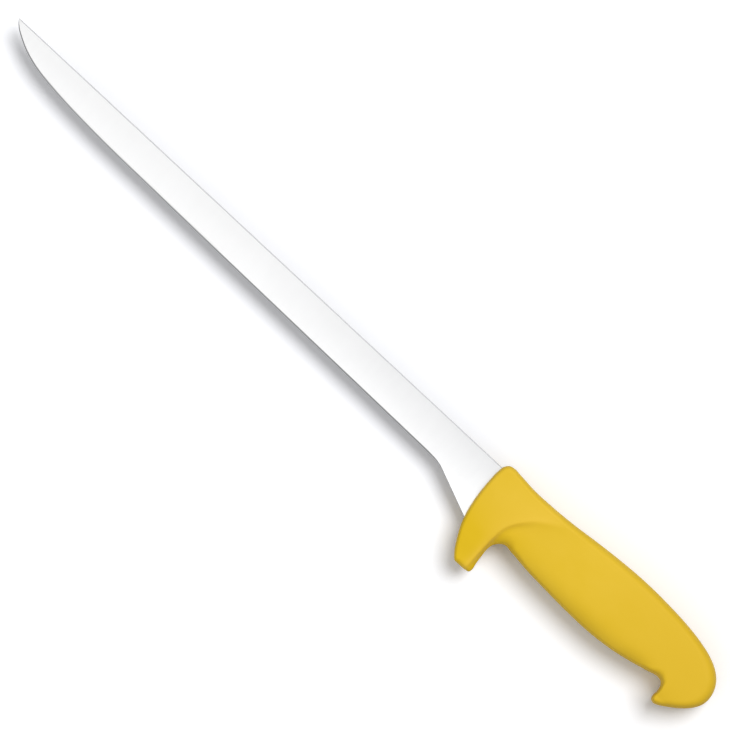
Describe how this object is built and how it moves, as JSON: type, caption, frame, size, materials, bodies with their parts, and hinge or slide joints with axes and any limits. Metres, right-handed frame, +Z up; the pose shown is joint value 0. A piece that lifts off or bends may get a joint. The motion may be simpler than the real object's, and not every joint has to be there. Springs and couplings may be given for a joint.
{
  "type": "ham knife",
  "caption": "Long narrow slicing knife with an upswept tip, a moulded plastic handle, a deep finger guard and a hooked butt.",
  "frame": {"origin": "centre of the bounding box, at its bottom: the knife lies on its side, and the fattest part of the grip touches the ground plane", "axes": "+X from the blade's tip towards the butt, +Y from the cutting edge towards the spine, +Z up, square to the blade's flat sides"},
  "size_m": [0.441, 0.0514, 0.023],
  "materials": {
    "blade": "satin, finely ground stainless steel",
    "handle": "matt moulded yellow plastic with a fine grain"
  },
  "bodies": {
    "root": {"blade": "blade", "handle": "handle"}
  },
  "joints": []
}
